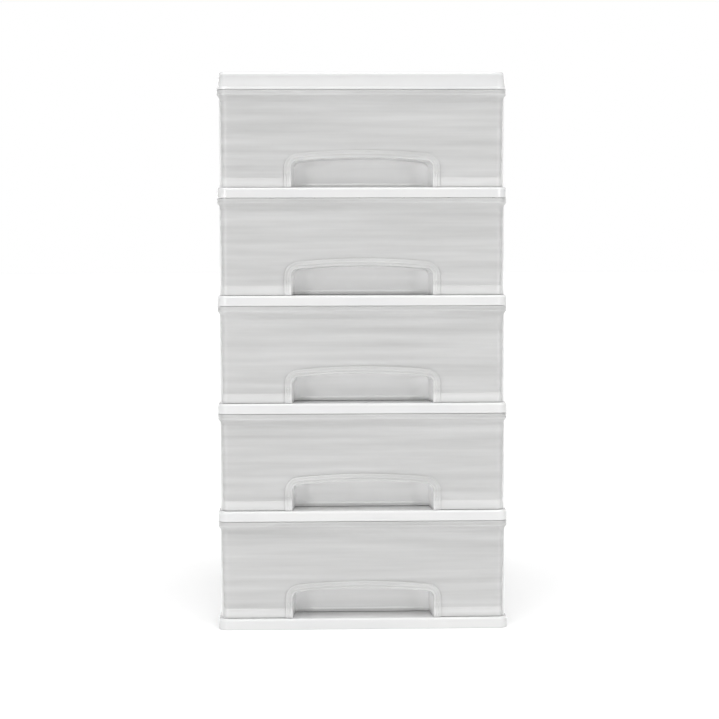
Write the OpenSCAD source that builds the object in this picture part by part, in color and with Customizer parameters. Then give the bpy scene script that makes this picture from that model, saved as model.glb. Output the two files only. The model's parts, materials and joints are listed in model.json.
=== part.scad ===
// Drawer tower: a lid, four shelves and a base, held apart by side and back panels,
// with one drawer in each bay. The front faces -Y, and the origin is the middle of the footprint.

/* [Tower] */
// Width of the lid, shelves, base and drawer fronts
tower_w = 290; // [240:5:340]
// Depth of the lid, shelves and base
tower_d = 380; // [300:5:440]
// Radius of the upright corners
corner_r = 10; // [8:0.5:14]
// Height of the base
base_h = 11; // [10:0.5:16]
// Height of a shelf
shelf_h = 10.5; // [10:0.5:16]
// Height of the lid
lid_h = 17.5; // [15:0.5:24]
// Clear height of a drawer's bay
bay_h = 97.5; // [90:0.5:120]

/* [Plates] */
// Thickness of the plate of the lid, shelves and base
plate_t = 2.5; // [2:0.1:3.5]
// Thickness of the skirt round them
skirt_t = 2.5; // [2:0.1:3.5]
// Thickness of the stiffening ribs
rib_t = 1.4; // [1:0.1:2.2]
// Depth of the ribs under the lid and the shelves
rib_h = 5; // [3:0.5:5.5]
// Spacing of the ribs
rib_pitch = 48; // [40:1:55]
// Rounding of the top edges
top_r = 2.5; // [1:0.25:3.5]
// Rounding of the bottom edges
foot_r = 0.8; // [0.4:0.1:1.2]

/* [Lid] */
// Height of the lip at the foot of the lid's skirt
lip_h = 2.2; // [1:0.1:4]
// How far the skirt steps in above the lip
lip_step = 0.5; // [0.2:0.1:1]
// How far the skirt leans in from the lip to the top
lid_draft = 1.6; // [0.5:0.1:3]
// Width of the border round the sunk top
lid_border = 15; // [10:0.5:30]
// Depth of the sunk top
lid_sink = 1.5; // [0.5:0.1:2.5]

/* [Panels] */
// Wall of the side and back panels
panel_t = 2.5; // [2:0.1:3.5]
// Depth of their inturned flanges, wall included
flange_d = 8; // [7:0.5:12]
// Thickness of the flanges
flange_t = 2.5; // [1.5:0.1:4]
// Distance from a panel's outer face to the edge of the shelves
panel_inset = 2.2; // [1:0.1:2.2]
// Width of the border round a panel's sunk field
field_border = 14; // [13:0.5:24]
// Depth of the sunk field
field_sink = 0.6; // [0.3:0.1:1]
// Width of the tabs that hold a panel
tab_w = 18; // [10:1:24]
// Thickness of the tabs
tab_t = 2; // [1.5:0.1:2.5]
// Length of the tabs
tab_l = 6; // [4:0.5:7]
// Distance from the middle of the first tab to the panel's end
tab_end = 32; // [20:1:50]
// Distance along the panel between lower and upper tabs
tab_stagger = 30; // [26:1:40]
// Clearance round a tab, and between two panels
fit = 0.3; // [0.2:0.05:0.5]

/* [Drawer] */
// Wall of the drawer
wall = 2; // [1.5:0.1:3]
// Thickness of the drawer's floor
floor_t = 2; // [1.5:0.1:3]
// Straight return of the front behind its rounded corners
front_return = 2; // [1:0.5:6]
// Height of the rim band along the top of the front
rim_h = 5.5; // [4:0.5:8]
// How far the face lies behind the rim band
rim_step = 2.75; // [1.5:0.25:3.5]
// How far the face leans back from the rim band to the foot
face_lean = 2.25; // [1:0.25:3]
// Spacing of the ripples up the face
ripple_pitch = 13; // [9:0.1:18]
// Depth of the ripples
ripple_depth = 0.8; // [0.3:0.1:1.2]
// Height of the lowest crest above the foot of the face
ripple_foot = 1.75; // [0:0.25:4]
// Height of the tub's side and rear walls
tub_h = 84; // [70:0.5:86]
// Draft of the tub's walls from top to floor
tub_draft = 1.5; // [0.5:0.1:3]
// Radius of the tub's upright corners
tub_r = 12; // [8:0.5:20]
// Radius between the tub's walls and floor
tub_floor_r = 4; // [3:0.5:8]
// Width of the lip round the top of the tub
tub_lip_w = 3; // [2:0.25:4]
// Thickness of that lip
tub_lip_t = 2; // [1.5:0.1:3]

/* [Finger pocket] */
// Width of the pocket
pocket_w = 142; // [100:1:180]
// Height of the pocket at its middle
pocket_h = 29.5; // [24:0.5:40]
// How far the arch rises from its ends to the middle
pocket_rise = 4; // [2:0.25:8]
// Radius of the pocket's top corners
pocket_r = 7; // [4:0.5:10]
// Depth of the pocket behind the front of the shelves
pocket_d = 38; // [16:0.5:44]
// How far each side of the pocket leans in from front to back
pocket_lean = 3; // [0:0.5:8]
// Width of the raised band round the pocket
band_w = 7; // [5:0.25:10]
// Width of the bead along the band's inner edge
bead_w = 3.5; // [2:0.25:4.5]
// How far the band's face lies behind the front of the shelves
band_inset = 2.9; // [2:0.1:3.2]
// How far the bead stands out of the band
bead_out = 0.6; // [0.3:0.1:1]

/* [Slide] */
// Gap above and below a drawer's front
front_gap = 0.5; // [0.5:0.1:1.5]
// Gap between a closed drawer's front and the side panels
head_gap = 0.5; // [0.3:0.1:1]
// Height of the glide strips on the shelves and base
glide_h = 1; // [0.8:0.1:2]
// Width of the glide strips
glide_w = 6; // [4:0.5:10]
// Distance from the middle of a glide strip to the tower's side
glide_in = 34; // [28:1:50]
// Play between a drawer's floor and the glide strips
glide_gap = 0.3; // [0.3:0.05:0.5]
// Play between a drawer's lip and the panels
side_gap = 1.5; // [1:0.1:2.5]
// Distance from a side panel's front edge to its stop rib
stop_in = 60; // [40:1:90]
// Length of the lug that meets the stop rib
lug_l = 8; // [5:0.5:14]
// Height of the lug
lug_h = 10; // [6:0.5:16]
// Gap between the lug and the side panel's wall
lug_gap = 2; // [1:0.1:2.5]

/* [Hidden] */
$fn = 48;
levels = 5;
half_w = tower_w / 2;
half_d = tower_d / 2;
pitch = bay_h + shelf_h;
lid_z = base_h + levels * bay_h + (levels - 1) * shelf_h;
head_d = corner_r + front_return;
head_h = bay_h - 2 * front_gap;
face_top = head_h - rim_h;
face_foot = rim_step + face_lean;
panel_front = -half_d + head_d + head_gap;
panel_rear = half_d - panel_inset;
side_len = panel_rear - panel_front;
bay_half_w = half_w - panel_inset - flange_d;
bay_rear = panel_rear - flange_d;
back_len = 2 * (bay_half_w - fit);
tab_in = skirt_t - panel_inset + fit;
tub_half_w = bay_half_w - side_gap - tub_lip_w;
tub_rear = bay_rear - side_gap - tub_lip_w;
tub_front = -half_d + head_d / 2;
tub_foot = glide_h + glide_gap - front_gap;
floor_top = tub_foot + floor_t;
lug_out = half_w - panel_inset - panel_t - lug_gap;
glide_l = tower_d - 2 * (head_d + head_gap);
eps = 0.01;

// Height of the floor of bay i, counted from the top
function bay_z(i) = base_h + (levels - i) * pitch;

// Quarter round from the vertical to the horizontal, as [inset, height] pairs
function foot_round(inset, z, r, n = 6) =
    [for (i = [0 : n]) let (a = 90 * i / n) [inset + r * (1 - sin(a)), z + r * (1 - cos(a))]];
function top_round(inset, z, r, n = 6) =
    [for (i = [0 : n]) let (a = 90 * i / n) [inset + r * (1 - cos(a)), z - r * (1 - sin(a))]];

// Inset of the rippled face at height z
function ripple(z) = ripple_depth / 2 * (1 - cos(360 * (z - ripple_foot) / ripple_pitch));
function face_inset(z) = rim_step + face_lean * (face_top - z) / face_top + ripple(z);

// Slab w by d with upright corners of radius r, whose side follows edge, [inset, height] pairs going up
module moulded_slab(w, d, r, edge) {
    foot = edge[0][1];
    top = edge[len(edge) - 1][1];
    for (sx = [0, 1], sy = [0, 1])
        mirror([sx, 0, 0]) mirror([0, sy, 0])
            translate([w / 2 - r, d / 2 - r, 0])
                rotate_extrude(angle = 90)
                    polygon(concat([[0, foot]], [for (p = edge) [r - p[0], p[1]]], [[0, top]]));
    slab_bar(w - 2 * r, d, edge);
    rotate(90) slab_bar(d - 2 * r, w, edge);
}

// Bar of length l along X and depth d, whose front and rear follow edge
module slab_bar(l, d, edge) {
    last = len(edge) - 1;
    rotate([90, 0, 90])
        linear_extrude(l, center = true)
            polygon(concat(
                [for (p = edge) [d / 2 - p[0], p[1]]],
                [for (i = [last : -1 : 0]) [edge[i][0] - d / 2, edge[i][1]]]
            ));
}

// Ribs crossing a hollow of the tower's plan, from z to z + h
module ribs(z, h) {
    inner_w = tower_w - 2 * skirt_t + 2 * eps;
    inner_d = tower_d - 2 * skirt_t + 2 * eps;
    nx = 2 * round(inner_w / rib_pitch / 2);
    ny = 2 * round(inner_d / rib_pitch / 2);
    for (i = [1 : nx - 1])
        translate([inner_w * (i / nx - 0.5) - rib_t / 2, -inner_d / 2, z]) cube([rib_t, inner_d, h]);
    for (i = [1 : ny - 1])
        translate([-inner_w / 2, inner_d * (i / ny - 0.5) - rib_t / 2, z]) cube([inner_w, rib_t, h]);
}

// Hollow under a plate, inside the skirt, up to height h
module hollow(h) {
    inner_r = corner_r - skirt_t;
    moulded_slab(tower_w - 2 * skirt_t, tower_d - 2 * skirt_t, inner_r, [[0, -1], [0, h]]);
}

// The tabs of one edge of a panel of length l, rising from z = 0, grown by a clearance
module tab_row(l, at, grow) {
    reach = l / 2 - tab_end - at;
    for (x = [-reach, tab_stagger / 2 - at, reach])
        translate([x - tab_w / 2 - grow, tab_in - grow, -grow])
            cube([tab_w + 2 * grow, tab_t + 2 * grow, tab_l + 2 * grow]);
}

// Children drawn in a side panel's place, x along its length and y inwards
module at_side(side) {
    mirror([side < 0 ? 1 : 0, 0, 0])
        translate([half_w - panel_inset, (panel_front + panel_rear) / 2, 0]) rotate(90) children();
}

// Children drawn in a back panel's place
module at_back() {
    translate([0, panel_rear, 0]) rotate(180) children();
}

// Room for the tabs of all panels at one joint, from z: the upper tabs of the panels below stand up,
// and the lower tabs of the panels above hang down
module tab_room(z, at, up) {
    translate([0, 0, z]) mirror([0, 0, up ? 0 : 1]) {
        at_side(-1) tab_row(side_len, at, fit);
        at_side(1) tab_row(side_len, at, fit);
        at_back() tab_row(back_len, at, fit);
    }
}

// Strips that a drawer glides on, on top of a plate at height z
module glides(z) {
    for (side = [-1, 1])
        translate([side * (half_w - glide_in) - glide_w / 2, -glide_l / 2, z - eps])
            cube([glide_w, glide_l, glide_h + eps]);
}

// Plate with a skirt, ribs and glide strips, as the shelves and the base are
module tray(h, rib_depth) {
    difference() {
        union() {
            difference() {
                moulded_slab(tower_w, tower_d, corner_r, concat(foot_round(0, 0, foot_r), top_round(0, h, top_r)));
                hollow(h - plate_t);
            }
            ribs(h - plate_t - rib_depth, rib_depth + eps);
            glides(h);
        }
        tab_room(h, 0, false);
        children();
    }
}

module base() {
    color("white") tray(base_h, base_h - plate_t);
}

module shelf() {
    color("white") tray(shelf_h, rib_h) tab_room(0, tab_stagger, true);
}

module lid() {
    edge = concat(
        foot_round(0, 0, foot_r),
        [[0, lip_h], [lip_step, lip_h + lip_step]],
        top_round(lip_step + lid_draft, lid_h, top_r)
    );
    under = lid_h - lid_sink - plate_t;
    color("white") difference() {
        union() {
            difference() {
                moulded_slab(tower_w, tower_d, corner_r, edge);
                hollow(under);
            }
            ribs(under - rib_h, rib_h + eps);
        }
        translate([0, 0, lid_h - lid_sink])
            moulded_slab(tower_w - 2 * lid_border, tower_d - 2 * lid_border, corner_r, [[0, 0], [-lid_sink, lid_sink + eps]]);
        tab_room(0, tab_stagger, true);
    }
}

// Plan of a panel of length l and depth d, with the outer corner of its far end rounded
module panel_plan(l, d, r) {
    difference() {
        translate([-l / 2, 0]) square([l, d]);
        if (r > 0) translate([l / 2 - r, 0]) difference() {
            square(r);
            translate([0, r]) circle(r);
        }
    }
}

// Flanged panel of length l with its outer face at y = 0, whose far corner has radius r
module wall_panel(l, r) {
    field_l = l - 2 * field_border;
    field_h = bay_h - 2 * field_border;
    difference() {
        linear_extrude(bay_h) panel_plan(l, flange_d, r);
        translate([0, panel_t, flange_t])
            linear_extrude(bay_h - 2 * flange_t) panel_plan(l - 2 * flange_t, flange_d, max(r - panel_t, 0));
        translate([-field_l / 2, -1, field_border]) cube([field_l, 1 + field_sink, field_h]);
    }
    translate([0, 0, bay_h]) tab_row(l, tab_stagger, 0);
    mirror([0, 0, 1]) tab_row(l, 0, 0);
}

// Side panel with the rib that stops the drawer
module side_panel() {
    color("whitesmoke") {
        wall_panel(side_len, corner_r - panel_inset);
        translate([-side_len / 2 + stop_in, panel_t - eps, flange_t - eps])
            cube([flange_t, flange_d - panel_t + eps, bay_h - 2 * flange_t + 2 * eps]);
    }
}

module back_panel() {
    color("whitesmoke") wall_panel(back_len, 0);
}

// Arched outline of the pocket, grown by grow and narrowed by lean a side, from z = foot
function arch(grow, foot, lean = 0) =
    let (
        half = pocket_w / 2 - lean,
        rise_r = (half * half + pocket_rise * pocket_rise) / (2 * pocket_rise),
        centre = pocket_h - rise_r,
        corner_x = half - pocket_r,
        corner_z = centre + sqrt(pow(rise_r - pocket_r, 2) - corner_x * corner_x),
        turn = atan2(corner_z - centre, corner_x),
        r = pocket_r + grow,
        big_r = rise_r + grow
    ) concat(
        [[half + grow, foot]],
        [for (i = [0 : 6]) let (a = turn * i / 6) [corner_x + r * cos(a), corner_z + r * sin(a)]],
        [for (i = [1 : 15]) let (a = turn + (180 - 2 * turn) * i / 16) [big_r * cos(a), centre + big_r * sin(a)]],
        [for (i = [0 : 6]) let (a = 180 - turn + turn * i / 6) [r * cos(a) - corner_x, corner_z + r * sin(a)]],
        [[-half - grow, foot]]
    );

// Arch grown by grow, from inset near to inset far behind the front of the shelves
module arch_block(grow, foot, near, far) {
    translate([0, far - half_d, 0]) rotate([90, 0, 0]) linear_extrude(far - near) polygon(arch(grow, foot));
}

// The pocket's tapering space, grown by grow, from inset near to its back
module pocket_block(grow, foot, near) {
    slice = 0.1;
    hull() {
        arch_block(grow, foot, near, near + slice);
        translate([0, pocket_d + grow - half_d, 0])
            rotate([90, 0, 0]) linear_extrude(slice) polygon(arch(grow, foot, pocket_lean));
    }
}

// Front half of a slab of the tower's width, reaching back to inset depth
module head_block(depth, edge) {
    intersection() {
        translate([0, head_d - half_d, 0]) moulded_slab(tower_w, 2 * head_d, corner_r, edge);
        translate([-half_w, -half_d, 0]) cube([tower_w, depth, bay_h]);
    }
}

// Slab from the inside of the front to the tub's rear
module tub_block(grow, r, edge) {
    front = tub_front - grow;
    rear = tub_rear + grow;
    translate([0, (front + rear) / 2, 0]) moulded_slab(2 * (tub_half_w + grow), rear - front, r, edge);
}

module drawer_outside() {
    ripple_step = ripple_pitch / 6;
    ripple_count = floor((face_top - foot_r) / ripple_step - 0.5);
    head_block(head_d, concat(
        foot_round(face_inset(foot_r), 0, foot_r, 2),
        [for (i = [1 : ripple_count]) let (z = foot_r + i * ripple_step) [face_inset(z), z]],
        [[rim_step, face_top], [0.5, face_top + 0.3], [0, face_top + 1]],
        top_round(0, head_h, foot_r, 3)
    ));
    tub_block(0, tub_r, concat(foot_round(tub_draft, tub_foot, tub_floor_r, 4), [[0, tub_h]]));
    tub_block(tub_lip_w, tub_r + tub_lip_w, [[0, tub_h - tub_lip_t], [0, tub_h]]);
    for (side = [-1, 1])
        translate([side < 0 ? -lug_out : tub_half_w - wall, tub_rear - lug_l, tub_h - lug_h])
            cube([lug_out - tub_half_w + wall, lug_l, lug_h]);
}

module drawer_inside() {
    head_block(head_d - wall, [
        [face_foot + ripple_depth + wall, floor_top],
        [rim_step + ripple_depth + wall, face_top - 1],
        [wall, face_top + 1],
        [wall, bay_h]
    ]);
    tub_block(-wall, tub_r - wall, concat(
        foot_round(tub_draft, floor_top, tub_floor_r - wall / 2, 4),
        [[0, tub_h], [0, bay_h]]
    ));
}

module drawer() {
    face_back = face_foot + ripple_depth + wall / 2;
    color("gainsboro", 0.7) difference() {
        union() {
            difference() {
                drawer_outside();
                drawer_inside();
            }
            pocket_block(wall, 0, face_back);
            arch_block(band_w, 0, band_inset, face_back);
            arch_block(bead_w, 0, band_inset - bead_out, face_back);
        }
        pocket_block(0, -1, 0);
    }
}

translate([0, 0, lid_z]) lid();
base();
for (i = [1 : levels - 1])
    translate([0, 0, bay_z(i) - shelf_h]) shelf();
for (i = [1 : levels]) translate([0, 0, bay_z(i)]) {
    at_side(-1) side_panel();
    at_side(1) side_panel();
    at_back() back_panel();
    translate([0, 0, front_gap]) drawer();
}
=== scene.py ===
import json
import math

import bmesh
import bpy
from mathutils import Matrix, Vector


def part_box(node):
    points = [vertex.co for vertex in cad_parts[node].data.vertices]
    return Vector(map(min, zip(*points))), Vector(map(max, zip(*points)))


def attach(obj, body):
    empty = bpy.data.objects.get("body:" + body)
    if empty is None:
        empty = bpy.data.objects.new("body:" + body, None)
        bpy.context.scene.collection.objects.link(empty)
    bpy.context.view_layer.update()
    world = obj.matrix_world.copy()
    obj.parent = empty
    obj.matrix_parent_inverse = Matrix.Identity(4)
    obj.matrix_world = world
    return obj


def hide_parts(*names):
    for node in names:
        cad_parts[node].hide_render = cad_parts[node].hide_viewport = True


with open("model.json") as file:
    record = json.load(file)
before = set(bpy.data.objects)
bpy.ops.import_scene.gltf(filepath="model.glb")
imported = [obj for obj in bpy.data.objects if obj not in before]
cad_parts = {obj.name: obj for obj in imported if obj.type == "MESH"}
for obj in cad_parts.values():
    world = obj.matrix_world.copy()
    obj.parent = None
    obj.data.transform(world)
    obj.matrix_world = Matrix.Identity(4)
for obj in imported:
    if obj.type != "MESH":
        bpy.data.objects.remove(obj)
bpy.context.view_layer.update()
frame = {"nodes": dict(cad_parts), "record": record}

# A white moulded drawer tower with five frosted drawers, in the frame's own axes: +Z up, the drawers
# open towards -Y. Lengths are in millimetres and angles in degrees, unless a line says otherwise.
# One drawer is made with its foot at height 0, and a copy of it is set into each bay.
MM = 0.001
LEVELS = 5

# Camera, turned to the right by its yaw and up by its pitch
CAMERA_PLACE = (-44, -2186.5, 380)
CAMERA_YAW = 1.8
CAMERA_PITCH = -1.48
CAMERA_ROLL = 0.16
CAMERA_LENS = 100.1
CAMERA_SHIFT = (-0.03, -0.08)  # shares of the picture's width
CAMERA_REACH = 50  # metres

# Drawer front. An inset is measured back from the front's foremost plane.
CORNER_R = 10
HEAD_D = 12  # depth of the front with its returns
FRONT_MORE = 0.2  # reach past the foot and the top of the solid drawer
FOOT_R = 0.35
TOP_R = 0.35
RIM_H = 5.5
RIM_STEP = 2.75  # from the rim back to the top of the face
FLARE = 3.5  # stretch below the top of the face that the rows of the face leave out
FACE_LEAN = 2.25  # how much further back the face lies at its foot
RIPPLE_PITCH = 13
RIPPLE_DEPTH = 0.4
RIPPLE_FOOT = 1.75  # height of the first crest
RIPPLE_ROWS = 12
FACE_COLUMNS = 72
FOOT_BAND_H = 9
FOOT_BAND_OUT = 0.3
FOOT_BAND_CLEAR = 0.4  # no other row lies this near the band's edge

# Rim of the front, as (inset, height over the top of the face): a flare, then two crests
RIM_PROFILE = [
    (RIM_STEP - 0.25, -2.6), (RIM_STEP - 0.9, -1.3), (RIM_STEP - 1.8, -0.3), (0.4, 0.4), (0.1, 1),
    (0, 1.6), (0.12, 2.2), (0.3, 2.6), (0.3, 2.9), (0.12, 3.3)]

# Drawer tub, with the lugs that stop it
WALL = 2
FLOOR_UNDER = 0.8
FLOOR_TOP = 2.8
SIDE_PLAY = 1.5  # between the tub's lip and the panels
TUB_FRONT_IN = 6
TUB_H = 84
TUB_DRAFT = 1.5  # how far a wall leans in at its foot
TUB_R = 12
TUB_FLOOR_R = 4
TUB_FLOOR_INNER_R = 3
LIP_W = 3
LIP_T = 2
LIP_R = 0.7
LUG_L = 8
LUG_H = 10
LUG_DROP = 0.1  # from the tub's top down to the lug's
LUG_GAP = 2  # from the lug to the panel's wall
PANEL_WALL = 2.5
FACE_STEP = 1  # the wall behind the rim starts to move forward this far below the top of the face

# Finger pocket, and the thin ridge along the foot of its rear wall
POCKET_W = 142
POCKET_H = 29.5
POCKET_RISE = 4  # of its arched top
POCKET_R = 7
POCKET_D = 38
POCKET_LEAN = 2.5  # of each side, from front to rear
POCKET_SLOPE = POCKET_LEAN / POCKET_D
POCKET_ROUND = 1.5  # round-over of its rear edges
LINE_R = 0.8
LINE_Z = 3.6
LINE_IN = 6  # from the ridge's ends to the pocket's sides
LINE_SINK = 0.1  # of the ridge's middle into the wall

# Band round the pocket, as (inset, growth of the arch) from its face to its outer side
BAND_W = 7
BAND_IN = 2.9
BAND_EDGE = [
    (BAND_IN, BAND_W - 0.6), (BAND_IN + 0.1, BAND_W - 0.25), (BAND_IN + 0.3, BAND_W - 0.08),
    (BAND_IN + 0.6, BAND_W)]

# Section of the bead on that band, from its outer side over two crests to the pocket's edge
BEAD_PROFILE = [
    (3.4, 4.6), (2.95, 4.6), (2.55, 4.45), (2.35, 4.1), (2.3, 3.7), (2.35, 3.3), (2.55, 2.8), (2.7, 2.3),
    (2.6, 1.9), (2.4, 1.5), (2.3, 1.1), (2.35, 0.7), (2.5, 0.3), (2.7, 0), (2.8, -0.3), (3.4, -0.3)]
BEAD_CREST_IN = 2.3
BEAD_OUTER_CREST = 3.7

# Knob and upright ridge on the bead's outer crest beside the pocket, rooted this deep in the band
KNOB_R = 1.3
KNOB_OUT = 0.7
KNOB_Z = 13.6
STEM_W = 1.1
STEM_OUT = 0.35
STEM_FOOT = 0.3
ROOT = 0.5

# Joined solids reach this far into each other, and cuts this far past what they cut
OVERLAP = 1

# Fineness: steps of the round stretches, turns of two small ones in radians, and the smallest sizes
CORNER_STEPS = 10
ARCH_STEPS = 36
FLOOR_STEPS = 6
TOP_STEPS = 5
EDGE_STEPS = 4
KNOB_STEPS = 16
STEM_STEPS = 8
LINE_STEPS = 12
KNOB_TURNS = (0, 0.35, 0.7, 1.05, 1.4)
POCKET_TURNS = (0.4, 0.8, 1.2, math.pi / 2)
SMALLEST_R = 0.05
WELD = 0.002
SHARP_ANGLE = 28

# Tones and roughness of the plastics, and how far light goes in them
WHITE_DARK = (0.67, 0.672, 0.675)
WHITE_LIGHT = (0.695, 0.695, 0.692)
WHITE_ROUGHNESS = (0.12, 0.18)
WHITE_SCATTER = 2.5
PANEL_DARK = (0.78, 0.78, 0.778)
PANEL_LIGHT = (0.81, 0.81, 0.807)
PANEL_ROUGHNESS = (0.45, 0.58)
PANEL_SCATTER = 3
FROSTED_DARK = (0.582, 0.582, 0.578)
FROSTED_LIGHT = (0.69, 0.69, 0.687)
# Colour of the painted light that is mixed into the frosted plastic in the pocket and along the front's
# foot
FROSTED_PAINTED_LIGHT = (0.97, 0.97, 0.966)
FROSTED_ROUGHNESS = (0.30, 0.42)
FROSTED_CLEAR = 0.2  # share of the light that passes straight through
FROSTED_SCATTER = 4
PLASTIC_IOR = 1.49

# Range that most of a noise lies in
NOISE_LOW = 0.3
NOISE_HIGH = 0.7

# Painted light in the frosted plastic's colour, from 0 to 1. It lightens the pocket's shaded walls, most
# at each edge, and falls from each edge over a reach.
POCKET_PAINTED_LIGHT = 0.4
PAINTED_LIGHT_FROM = 8  # inset where it is full
SIDE_PAINTED_LIGHT = 1
SIDE_REACH = 24
TOP_PAINTED_LIGHT = 0.9
TOP_REACH = 7
FOOT_PAINTED_LIGHT = 0.55
FOOT_REACH = 22

# What lies up to WALL_SKIN outside the pocket's outline is its wall, and at WALL_END nothing is
WALL_SKIN = 0.3
WALL_END = 0.5

# The ridge gets the full painted light, as a painted highlight. Below it, between these distances, the
# painted light falls to a share, as painted shade.
LINE_BLUR = 0.3
LINE_SHADE = 0.5
LINE_SHADE_FROM = 0.8
LINE_SHADE_FULL = 2

# Painted light on the band along the front's foot, which fades in from above to below the band's edge
FOOT_BAND_PAINTED_LIGHT = 0.28
FOOT_BAND_ABOVE = 2.5
FOOT_BAND_BELOW = 1.5
FOOT_BAND_FADE = 1  # at the rear of the front

# Floor: its tone, its roughness and its width in metres
FLOOR_TONE = (0.97, 0.97, 0.97)
FLOOR_ROUGHNESS = 0.9
FLOOR_SIZE = 60

# Light of the surroundings from the front, from the sides and from the rear
FRONT_GLOW = 0.345
SIDE_GLOW = 0.12
REAR_GLOW = 0.3

# Soft suns, as name, azimuth to the right of the front, elevation, spread and strength
LIGHTS = [
    ("overhead", 0, 78, 70, 3.0),
    ("front_left", -26, 4, 12, 0.8),
    ("front_right", 29, 4, 12, 0.57),
    ("rear_left", -145, 6, 25, 0.42),
    ("rear_right", 145, 6, 25, 0.42),
]

# What the frame gives: the box of a drawer, and the room between the panels of its bay
drawer_low, drawer_high = [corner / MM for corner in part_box("drawer_1")]
panel_low, panel_high = [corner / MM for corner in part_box("left_panel_1")]
HALF_W = drawer_high.x
FRONT = drawer_low.y
FRONT_H = drawer_high.z - drawer_low.z
BAY_HALF_W = -panel_high.x
BAY_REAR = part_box("back_panel_1")[0].y / MM

# Worked out from these
FOOT = -FRONT_MORE
TOP = FRONT_H + FRONT_MORE
FACE_TOP = FRONT_H - RIM_H
FACE_BACK = RIM_STEP + FACE_LEAN + RIPPLE_DEPTH + WALL / 2
TUB_HALF_W = BAY_HALF_W - SIDE_PLAY - LIP_W
TUB_FRONT = FRONT + TUB_FRONT_IN
TUB_REAR = BAY_REAR - SIDE_PLAY - LIP_W
LUG_OUT = -panel_low.x - PANEL_WALL - LUG_GAP


def loft(name, sections):
    """Closed solid through rings that hold equally many (x, y, z) points."""
    count = len(sections[0])
    shape = bmesh.new()
    rings = [[shape.verts.new([c * MM for c in point]) for point in ring] for ring in sections]
    for low, high in zip(rings, rings[1:]):
        for i in range(count):
            j = (i + 1) % count
            shape.faces.new((low[i], low[j], high[j], high[i]))
    shape.faces.new(rings[0][::-1])
    shape.faces.new(rings[-1])
    bmesh.ops.recalc_face_normals(shape, faces=shape.faces)
    mesh = bpy.data.meshes.new(name)
    shape.to_mesh(mesh)
    shape.free()
    solid = bpy.data.objects.new(name, mesh)
    bpy.context.scene.collection.objects.link(solid)
    return solid


def combine(solid, others, operation):
    """Boolean of a solid with others, which are used up."""
    for other in others:
        step = solid.modifiers.new("step", "BOOLEAN")
        step.operation = operation
        step.solver = "EXACT"
        step.object = other
    graph = bpy.context.evaluated_depsgraph_get()
    result = bpy.data.meshes.new_from_object(solid.evaluated_get(graph))
    solid.modifiers.clear()
    solid.data = result
    for other in others:
        bpy.data.objects.remove(other)


def arc(cx, cy, r, start, end, steps):
    """Points of an arc, with both ends."""
    angles = [math.radians(start + (end - start) * i / steps) for i in range(steps + 1)]
    return [(cx + r * math.cos(a), cy + r * math.sin(a)) for a in angles]


def circle(cx, cy, r, steps):
    """Points all round a circle."""
    return arc(cx, cy, r, 0, 360, steps)[:-1]


def round_foot(inset, z, r, steps=EDGE_STEPS):
    """(inset, height) pairs from a flat underside up to a side."""
    quarter = [math.pi / 2 * i / steps for i in range(steps + 1)]
    return [(inset + r * (1 - math.sin(a)), z + r * (1 - math.cos(a))) for a in quarter]


def round_top(inset, z, r, steps=EDGE_STEPS):
    """(inset, height) pairs from a side to a flat top."""
    quarter = [math.pi / 2 * i / steps for i in range(steps + 1)]
    return [(inset + r * (1 - math.cos(a)), z - r * (1 - math.sin(a))) for a in quarter]


def plan(half_w, front, rear, front_r, rear_r, inset, columns=1):
    """Outline seen from above, drawn in by inset. With no rear radius its rear stays where it is."""
    x = half_w - inset
    y0 = front + inset
    y1 = rear - inset if rear_r else rear
    r0 = max(front_r - inset, SMALLEST_R)
    run = 2 * (x - r0)
    points = arc(-x + r0, y0 + r0, r0, 180, 270, CORNER_STEPS)
    points += [(-x + r0 + run * i / columns, y0) for i in range(1, columns)]
    points += arc(x - r0, y0 + r0, r0, 270, 360, CORNER_STEPS)
    if rear_r:
        r1 = rear_r - inset
        points += arc(x - r1, y1 - r1, r1, 0, 90, CORNER_STEPS)
        points += arc(-x + r1, y1 - r1, r1, 90, 180, CORNER_STEPS)
    else:
        points += [(x, y1), (-x, y1)]
    return points


def head_plan(inset):
    """Outline of the drawer's front."""
    return plan(HALF_W, FRONT, FRONT + HEAD_D, CORNER_R, 0, inset, FACE_COLUMNS)


def head_inner_plan(inset):
    """Outline of the space behind the front's face."""
    return plan(HALF_W, FRONT, FRONT + HEAD_D - WALL, CORNER_R, 0, inset)


def tub_plan(inset):
    """Outline of the tub."""
    return plan(TUB_HALF_W, TUB_FRONT, TUB_REAR, TUB_R, TUB_R, inset)


def slab(name, outline, edge):
    """Solid whose outline at each height comes from (inset, height) pairs."""
    return loft(name, [[(x, y, z) for x, y in outline(inset)] for inset, z in edge])


def face_inset(z):
    """How far the face lies behind the foremost plane at height z."""
    ripple = RIPPLE_DEPTH / 2 * (1 - math.cos(2 * math.pi * (z - RIPPLE_FOOT) / RIPPLE_PITCH))
    band = FOOT_BAND_OUT if z < FOOT_BAND_H else 0
    return RIM_STEP + FACE_LEAN * (FACE_TOP - z) / FACE_TOP + ripple - band


def face_edge():
    """(inset, height) pairs up the front: its foot, its rippled face and its rim."""
    row = RIPPLE_PITCH / RIPPLE_ROWS
    rows = int((FACE_TOP - FLARE - FOOT_R) / row - 0.5)
    heights = [FOOT_R + i * row for i in range(1, rows + 1)]
    heights = [z for z in heights if abs(z - FOOT_BAND_H) > FOOT_BAND_CLEAR]
    heights += [FOOT_BAND_H - FOOT_BAND_OUT, FOOT_BAND_H]
    edge = round_foot(face_inset(FOOT_R), FOOT, FOOT_R)
    edge += [(face_inset(z), z) for z in sorted(heights)]
    edge += [(inset, FACE_TOP + z) for inset, z in RIM_PROFILE]
    return edge + round_top(0, TOP, TOP_R, TOP_STEPS)


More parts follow.
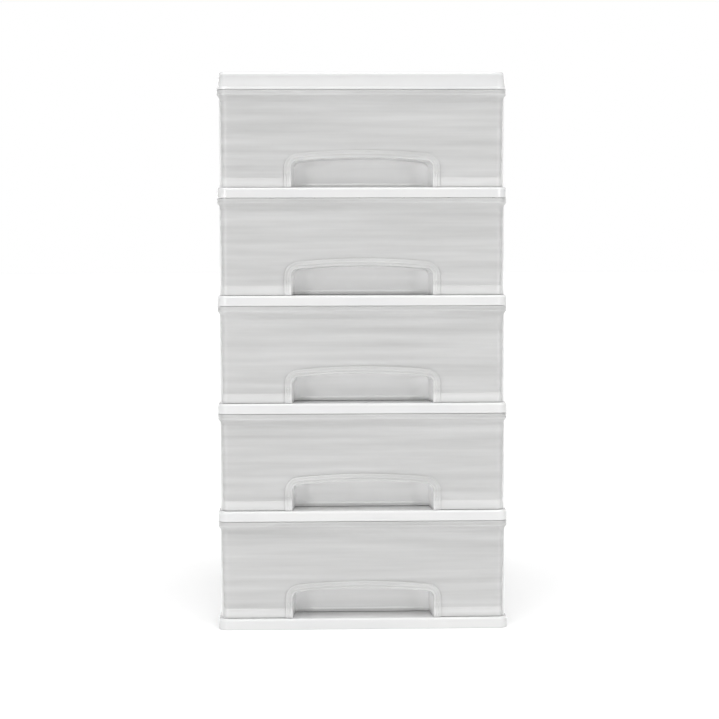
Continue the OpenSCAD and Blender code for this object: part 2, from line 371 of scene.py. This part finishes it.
def tub():
    """The tub as a full block."""
    edge = round_foot(TUB_DRAFT, FLOOR_UNDER, TUB_FLOOR_R, FLOOR_STEPS)
    return slab("tub", tub_plan, edge + [(0, TUB_H)])


def lip():
    """Rounded lip round the top of the tub, as a full slab."""
    edge = round_foot(-LIP_W, TUB_H - LIP_T, LIP_R) + round_top(-LIP_W, TUB_H, LIP_R)
    return slab("lip", tub_plan, edge)


def lug(side):
    """Stop lug at the rear corner of the tub, on the side -1 or 1."""
    x0, x1 = sorted((side * (TUB_HALF_W - WALL), side * LUG_OUT))
    outline = [(x0, TUB_REAR - LUG_L), (x1, TUB_REAR - LUG_L), (x1, TUB_REAR), (x0, TUB_REAR)]
    return loft("lug", [[(x, y, z) for x, y in outline] for z in (TUB_H - LUG_H, TUB_H - LUG_DROP)])


def head_inner():
    """Space behind the front's face, up through its top."""
    thick = RIM_STEP + RIPPLE_DEPTH + WALL
    edge = [
        (thick + FACE_LEAN, FLOOR_TOP), (thick, FACE_TOP - FACE_STEP), (WALL, FACE_TOP + FACE_STEP),
        (WALL, TOP + OVERLAP)]
    return slab("head_inner", head_inner_plan, edge)


def tub_inner():
    """Space inside the tub, up through its top."""
    edge = round_foot(WALL + TUB_DRAFT, FLOOR_TOP, TUB_FLOOR_INNER_R, FLOOR_STEPS)
    return slab("tub_inner", tub_plan, edge + [(WALL, TUB_H), (WALL, TOP + OVERLAP)])


def arch(grow, foot, lean=0.0):
    """Arched outline of the pocket as (x, z), grown by grow and narrowed by lean a side."""
    half = POCKET_W / 2 - lean
    rise_r = (half**2 + POCKET_RISE**2) / (2 * POCKET_RISE)
    centre = POCKET_H - rise_r
    corner_x = half - POCKET_R
    corner_z = centre + math.sqrt((rise_r - POCKET_R) ** 2 - corner_x**2)
    turn = math.degrees(math.atan2(corner_z - centre, corner_x))
    points = [(half + grow, foot)]
    points += arc(corner_x, corner_z, POCKET_R + grow, 0, turn, CORNER_STEPS)
    points += arc(0, centre, rise_r + grow, turn, 180 - turn, ARCH_STEPS)[1:-1]
    points += arc(-corner_x, corner_z, POCKET_R + grow, 180 - turn, 180, CORNER_STEPS)
    points += [(-half - grow, foot)]
    return points


def arch_solid(name, foot, sections):
    """Solid through filled arches at (inset, grow, lean)."""
    rings = []
    for inset, grow, lean in sections:
        rings.append([(x, FRONT + inset, z) for x, z in arch(grow, foot, lean)])
    return loft(name, rings)


def arch_bar(name, foot, profile):
    """Bar along the arch, whose section is a closed outline of (inset, grow)."""
    rails = [[(x, FRONT + inset, z) for x, z in arch(grow, foot)] for inset, grow in profile]
    return loft(name, list(zip(*rails)))


def rear_round(inset, grow):
    """Sections that round the pocket's rear edges, up to inset."""
    lean = POCKET_SLOPE * inset
    sections = []
    for turn in POCKET_TURNS:
        forward = POCKET_ROUND * (1 - math.sin(turn))
        shrink = POCKET_ROUND * (1 - math.cos(turn))
        sections.append((inset - forward, grow - shrink, lean))
    return sections


def pocket_shell():
    """The pocket's walls as a full block."""
    back = POCKET_D + WALL
    sections = [
        (FACE_BACK - OVERLAP, WALL, POCKET_SLOPE * FACE_BACK),
        (back - POCKET_ROUND, WALL, POCKET_SLOPE * back)]
    return arch_solid("pocket_shell", FOOT, sections + rear_round(back, WALL))


def pocket_inner():
    """Space inside the pocket, open to the front and below."""
    rear = POCKET_D - POCKET_ROUND
    sections = [(-OVERLAP, 0, 0), (BAND_IN, 0, POCKET_SLOPE * BAND_IN), (rear, 0, POCKET_LEAN)]
    return arch_solid("pocket_inner", -OVERLAP, sections + rear_round(POCKET_D, 0))


def band():
    """Raised band round the pocket, as a full block."""
    sections = [(inset, grow, 0) for inset, grow in BAND_EDGE]
    return arch_solid("band", FOOT, sections + [(FACE_BACK, BAND_W, 0)])


def knob(x):
    """Small dome on the bead, with its middle at height KNOB_Z."""
    rings = []
    for turn in KNOB_TURNS:
        y = FRONT + BEAD_CREST_IN - KNOB_OUT * math.sin(turn)
        r = KNOB_R * math.cos(turn)
        rings.append([(px, y, pz) for px, pz in circle(x, KNOB_Z, r, KNOB_STEPS)])
    root = [(px, FRONT + BAND_IN + ROOT, pz) for px, _, pz in rings[0]]
    return loft("knob", [root] + rings)


def stem(x):
    """Thin upright ridge on the bead, from the knob to the foot."""
    root_y = FRONT + BAND_IN + ROOT
    half_round = arc(0, 0, 1, 180, 360, STEM_STEPS)
    outline = [(x + dx * STEM_W / 2, FRONT + BEAD_CREST_IN + dy * STEM_OUT) for dx, dy in half_round]
    outline = [(x - STEM_W / 2, root_y)] + outline + [(x + STEM_W / 2, root_y)]
    return loft("stem", [[(px, py, z) for px, py in outline] for z in (STEM_FOOT, KNOB_Z)])


def pocket_line():
    """Thin ridge along the foot of the pocket's rear wall."""
    half_l = POCKET_W / 2 - POCKET_LEAN - LINE_IN
    outline = circle(FRONT + POCKET_D + LINE_SINK, LINE_Z, LINE_R, LINE_STEPS)
    return loft("line", [[(x, y, z) for y, z in outline] for x in (-half_l, half_l)])


def drawer_moulding():
    """One drawer with its foot at height 0, as a single moulding."""
    drawer = slab("head", head_plan, face_edge())
    combine(drawer, [tub(), lip(), lug(-1), lug(1)], "UNION")
    combine(drawer, [head_inner(), tub_inner()], "DIFFERENCE")
    combine(drawer, [pocket_shell(), band(), arch_bar("bead", FOOT, BEAD_PROFILE)], "UNION")
    for side in (-1, 1):
        x = side * (POCKET_W / 2 + BEAD_OUTER_CREST)
        combine(drawer, [knob(x), stem(x)], "UNION")
    combine(drawer, [pocket_inner()], "DIFFERENCE")
    combine(drawer, [pocket_line()], "UNION")
    return drawer


def finish_mesh(mesh):
    """Clean faces of at most four corners, shaded smooth except across sharp edges."""
    shape = bmesh.new()
    shape.from_mesh(mesh)
    bmesh.ops.remove_doubles(shape, verts=shape.verts, dist=WELD * MM)
    bmesh.ops.dissolve_degenerate(shape, dist=WELD * MM, edges=shape.edges)
    bmesh.ops.triangulate(shape, faces=[face for face in shape.faces if len(face.verts) > 4])
    for face in shape.faces:
        face.smooth = True
    limit = math.radians(SHARP_ANGLE)
    for edge in shape.edges:
        edge.smooth = len(edge.link_faces) == 2 and edge.calc_face_angle(0) < limit
    shape.to_mesh(mesh)
    shape.free()


def mark_place(mesh):
    """Keeps each point's place in the drawer, in mm from its middle, its front and its foot."""
    mark = mesh.attributes.new("place", "FLOAT_VECTOR", "POINT")
    for vertex in mesh.vertices:
        x, y, z = vertex.co / MM
        mark.data[vertex.index].vector = (x, y - FRONT, z)


def shader(name):
    """New material with its node tree and Principled shader."""
    material = bpy.data.materials.new(name)
    material.use_nodes = True
    return material, material.node_tree, material.node_tree.nodes["Principled BSDF"]


def noise(tree, squeeze, scale, detail):
    """Noise in the piece's own coordinates, squeezed by a factor along each axis."""
    place = tree.nodes.new("ShaderNodeTexCoord")
    mapping = tree.nodes.new("ShaderNodeMapping")
    mapping.inputs["Scale"].default_value = squeeze
    texture = tree.nodes.new("ShaderNodeTexNoise")
    texture.inputs["Scale"].default_value = scale
    texture.inputs["Detail"].default_value = detail
    tree.links.new(place.outputs["Object"], mapping.inputs["Vector"])
    tree.links.new(mapping.outputs["Vector"], texture.inputs["Vector"])
    return texture.outputs["Fac"]


def even_noise(tree, scale, detail):
    """Noise that is alike along all axes."""
    return noise(tree, (1, 1, 1), scale, detail)


def blend_range(tree, source, low, high):
    """The range of a noise becomes low to high."""
    node = tree.nodes.new("ShaderNodeMapRange")
    node.inputs["From Min"].default_value = NOISE_LOW
    node.inputs["From Max"].default_value = NOISE_HIGH
    node.inputs["To Min"].default_value = low
    node.inputs["To Max"].default_value = high
    tree.links.new(source, node.inputs["Value"])
    return node.outputs["Result"]


def blend_colour(tree, source, dark, light):
    """The range of a noise becomes dark to light."""
    node = tree.nodes.new("ShaderNodeValToRGB")
    stops = node.color_ramp.elements
    stops[0].position = NOISE_LOW
    stops[0].color = (*dark, 1)
    stops[1].position = NOISE_HIGH
    stops[1].color = (*light, 1)
    tree.links.new(source, node.inputs["Fac"])
    return node.outputs["Color"]


def bump(tree, source, distance, strength, below=None):
    """Normal over a relief, on top of the normal below."""
    node = tree.nodes.new("ShaderNodeBump")
    node.inputs["Distance"].default_value = distance * MM
    node.inputs["Strength"].default_value = strength
    tree.links.new(source, node.inputs["Height"])
    if below:
        tree.links.new(below, node.inputs["Normal"])
    return node.outputs["Normal"]


def set_body(surface, depth):
    """Plastic that light enters and leaves again up to depth away."""
    surface.inputs["IOR"].default_value = PLASTIC_IOR
    surface.inputs["Subsurface Weight"].default_value = 1
    surface.inputs["Subsurface Radius"].default_value = (1, 1, 1)
    surface.inputs["Subsurface Scale"].default_value = depth * MM


def white_plastic():
    """Satin white moulding: a faint cast from flow, and a fine skin."""
    material, tree, surface = shader("white_plastic")
    flow = noise(tree, (1, 1, 2.5), 14, 3)
    tree.links.new(blend_colour(tree, flow, WHITE_DARK, WHITE_LIGHT), surface.inputs["Base Color"])
    satin = even_noise(tree, 90, 4)
    tree.links.new(blend_range(tree, satin, *WHITE_ROUGHNESS), surface.inputs["Roughness"])
    skin = bump(tree, even_noise(tree, 900, 2), 0.008, 0.5)
    wave = bump(tree, even_noise(tree, 30, 1), 0.03, 0.5, skin)
    tree.links.new(wave, surface.inputs["Normal"])
    set_body(surface, WHITE_SCATTER)
    return material


def panel_plastic():
    """Matt white panel with an even spark-eroded grain."""
    material, tree, surface = shader("panel_plastic")
    flow = even_noise(tree, 8, 3)
    tree.links.new(blend_colour(tree, flow, PANEL_DARK, PANEL_LIGHT), surface.inputs["Base Color"])
    satin = even_noise(tree, 160, 4)
    tree.links.new(blend_range(tree, satin, *PANEL_ROUGHNESS), surface.inputs["Roughness"])
    grain = bump(tree, even_noise(tree, 1400, 3), 0.06, 0.7)
    tree.links.new(grain, surface.inputs["Normal"])
    set_body(surface, PANEL_SCATTER)
    return material


def calculate(tree, operation, *values):
    """Math node of sockets and numbers."""
    node = tree.nodes.new("ShaderNodeMath")
    node.operation = operation
    for socket, value in zip(node.inputs, values):
        if isinstance(value, (int, float)):
            socket.default_value = value
        else:
            tree.links.new(value, socket)
    return node.outputs["Value"]


def chain(tree, operation, first, *others):
    """Math nodes that take in one value after another."""
    for other in others:
        first = calculate(tree, operation, first, other)
    return first


def ramp(tree, source, start, end, low=0.0, high=1.0):
    """Smooth step of source from low at start to high at end."""
    node = tree.nodes.new("ShaderNodeMapRange")
    node.interpolation_type = "SMOOTHSTEP"
    for name, value in (("From Min", start), ("From Max", end), ("To Min", low), ("To Max", high)):
        node.inputs[name].default_value = value
    tree.links.new(source, node.inputs["Value"])
    return node.outputs["Result"]


def inner_distances(tree, x, depth, z):
    """How far a point lies inside the pocket's sides and below its top."""
    half = calculate(tree, "MULTIPLY_ADD", depth, -POCKET_SLOPE, POCKET_W / 2)
    to_side = calculate(tree, "SUBTRACT", half, calculate(tree, "ABSOLUTE", x))
    bend = calculate(tree, "MULTIPLY", calculate(tree, "POWER", x, 2), -POCKET_RISE / (POCKET_W / 2) ** 2)
    to_top = calculate(tree, "SUBTRACT", calculate(tree, "ADD", bend, POCKET_H), z)
    return to_side, to_top


def painted_light_mask(tree):
    """Share of painted light in the frosted colour: painted light against the pocket's shade, strongest
    towards its edges, a painted highlight on the ridge at its foot with painted shade below it, and
    painted light along the front's foot.
    """
    mark = tree.nodes.new("ShaderNodeAttribute")
    mark.attribute_name = "place"
    split = tree.nodes.new("ShaderNodeSeparateXYZ")
    tree.links.new(mark.outputs["Vector"], split.inputs["Vector"])
    x, depth, z = split.outputs
    to_side, to_top = inner_distances(tree, x, depth, z)
    inside = chain(
        tree, "MULTIPLY",
        ramp(tree, depth, BAND_IN, PAINTED_LIGHT_FROM),
        ramp(tree, to_side, -WALL_END, -WALL_SKIN),
        ramp(tree, to_top, -WALL_END, -WALL_SKIN),
        ramp(tree, depth, POCKET_D + WALL_END, POCKET_D + WALL_SKIN))
    near_edge = chain(
        tree, "MAXIMUM",
        ramp(tree, to_side, 0, SIDE_REACH, SIDE_PAINTED_LIGHT, POCKET_PAINTED_LIGHT),
        ramp(tree, to_top, 0, TOP_REACH, TOP_PAINTED_LIGHT, POCKET_PAINTED_LIGHT),
        ramp(tree, z, 0, FOOT_REACH, FOOT_PAINTED_LIGHT, POCKET_PAINTED_LIGHT))
    # Painted shade below the ridge, and a painted highlight on the ridge itself
    shade = ramp(tree, z, LINE_Z - LINE_SHADE_FULL, LINE_Z - LINE_SHADE_FROM, LINE_SHADE, 1)
    from_line = calculate(tree, "ABSOLUTE", calculate(tree, "SUBTRACT", z, LINE_Z))
    on_line = ramp(tree, from_line, LINE_R + LINE_BLUR, LINE_R)
    walls = calculate(tree, "MAXIMUM", calculate(tree, "MULTIPLY", near_edge, shade), on_line)
    pocket = calculate(tree, "MULTIPLY", walls, inside)
    # Painted light along the band at the front's foot
    foot_band = chain(
        tree, "MULTIPLY",
        ramp(tree, z, FOOT_BAND_H + FOOT_BAND_ABOVE, FOOT_BAND_H - FOOT_BAND_BELOW, 0, FOOT_BAND_PAINTED_LIGHT),
        ramp(tree, depth, HEAD_D, HEAD_D - FOOT_BAND_FADE),
        calculate(tree, "SUBTRACT", 1, inside))
    return calculate(tree, "MAXIMUM", pocket, foot_band)


def frosted_plastic():
    """Pale translucent polypropylene with long soft streaks along the ripples, and painted light mixed
    into its colour in the pocket and along the front's foot.
    """
    material, tree, surface = shader("frosted_plastic")
    streak = noise(tree, (0.35, 0.35, 8), 16, 3)
    body = blend_colour(tree, streak, FROSTED_DARK, FROSTED_LIGHT)
    # The colour is mixed towards the painted light's colour by this share
    painted_light = painted_light_mask(tree)
    mix = tree.nodes.new("ShaderNodeMix")
    mix.data_type = "RGBA"
    mix.inputs["B"].default_value = (*FROSTED_PAINTED_LIGHT, 1)
    tree.links.new(painted_light, mix.inputs["Factor"])
    tree.links.new(body, mix.inputs["A"])
    tree.links.new(mix.outputs["Result"], surface.inputs["Base Color"])
    mottle = noise(tree, (1, 1, 3), 60, 4)
    tree.links.new(blend_range(tree, mottle, *FROSTED_ROUGHNESS), surface.inputs["Roughness"])
    wave = bump(tree, noise(tree, (1, 1, 6), 22, 2), 0.25, 0.6)
    tree.links.new(wave, surface.inputs["Normal"])
    # Where light is painted, less light passes straight through
    tree.links.new(ramp(tree, painted_light, 0, 1, FROSTED_CLEAR, 0), surface.inputs["Transmission Weight"])
    set_body(surface, FROSTED_SCATTER)
    return material


def dress_carcass():
    """Better plastic on the CAD pieces that stay."""
    finishes = {"white_plastic": white_plastic(), "panel_plastic": panel_plastic()}
    slots = {part["node"]: part["material_slot"] for part in frame["record"]["subparts"]}
    for name, node in frame["nodes"].items():
        if slots[name] in finishes:
            for slot in node.material_slots:
                slot.material = finishes[slots[name]]


def add_drawers():
    """Drawers in their bays, all from one moulding."""
    moulding = drawer_moulding()
    finish_mesh(moulding.data)
    mark_place(moulding.data)
    finish = frosted_plastic()
    for level in range(1, LEVELS + 1):
        node = f"drawer_{level}"
        mesh = moulding.data.copy()
        mesh.transform(Matrix.Translation((0, 0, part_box(node)[0].z)))
        mesh.materials.clear()
        mesh.materials.append(finish)
        piece = bpy.data.objects.new(f"drawer_{level}_moulding", mesh)
        bpy.context.scene.collection.objects.link(piece)
        weighted = piece.modifiers.new("weighted", "WEIGHTED_NORMAL")
        weighted.keep_sharp = True
        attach(piece, node)
        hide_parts(node)
    bpy.data.objects.remove(moulding)


def add_camera():
    """Camera in front, a little to the left and above the middle of the tower."""
    data = bpy.data.cameras.new("camera")
    data.lens = CAMERA_LENS
    data.shift_x, data.shift_y = CAMERA_SHIFT
    data.clip_end = CAMERA_REACH
    camera = bpy.data.objects.new("camera", data)
    camera.location = [c * MM for c in CAMERA_PLACE]
    camera.rotation_euler = [math.radians(a) for a in (90 + CAMERA_PITCH, CAMERA_ROLL, -CAMERA_YAW)]
    bpy.context.scene.collection.objects.link(camera)
    bpy.context.scene.camera = camera


def add_light(name, azimuth, elevation, spread, strength):
    """Wide even light, as from a soft box far away."""
    data = bpy.data.lights.new(name, "SUN")
    data.energy = strength
    data.angle = math.radians(spread)
    light = bpy.data.objects.new(name, data)
    light.rotation_euler = (math.radians(90 - elevation), 0, math.radians(azimuth))
    bpy.context.scene.collection.objects.link(light)


def grey(level):
    """Opaque grey."""
    return (level, level, level, 1)


def add_world():
    """White surroundings, which light the tower more softly than they look."""
    world = bpy.data.worlds.new("studio")
    world.use_nodes = True
    tree = world.node_tree
    background = tree.nodes["Background"]
    background.inputs["Color"].default_value = grey(1)
    place = tree.nodes.new("ShaderNodeTexCoord")
    split = tree.nodes.new("ShaderNodeSeparateXYZ")
    tree.links.new(place.outputs["Generated"], split.inputs["Vector"])
    glow = tree.nodes.new("ShaderNodeValToRGB")
    glow.color_ramp.interpolation = "EASE"
    stops = glow.color_ramp.elements
    stops[0].color = grey(FRONT_GLOW)
    stops[1].color = grey(REAR_GLOW)
    middle = stops.new(0.5)
    middle.color = grey(SIDE_GLOW)
    towards = tree.nodes.new("ShaderNodeMapRange")
    towards.inputs["From Min"].default_value = -1
    tree.links.new(split.outputs["Y"], towards.inputs["Value"])
    tree.links.new(towards.outputs["Result"], glow.inputs["Fac"])
    rays = tree.nodes.new("ShaderNodeLightPath")
    strength = tree.nodes.new("ShaderNodeMix")
    strength.inputs["B"].default_value = 1
    tree.links.new(rays.outputs["Is Camera Ray"], strength.inputs["Factor"])
    tree.links.new(glow.outputs["Color"], strength.inputs["A"])
    tree.links.new(strength.outputs["Result"], background.inputs["Strength"])
    bpy.context.scene.world = world


def add_floor():
    """Plain pale floor."""
    bpy.ops.mesh.primitive_plane_add(size=FLOOR_SIZE)
    floor = bpy.context.object
    floor.name = "floor"
    material, _, surface = shader("floor")
    surface.inputs["Base Color"].default_value = (*FLOOR_TONE, 1)
    surface.inputs["Roughness"].default_value = FLOOR_ROUGHNESS
    floor.data.materials.append(material)


def add_stage():
    """Floor, surroundings and lights."""
    bpy.context.scene.view_settings.view_transform = "Standard"
    add_world()
    add_floor()
    for light in LIGHTS:
        add_light(*light)


add_camera()
add_drawers()
dress_carcass()
add_stage()
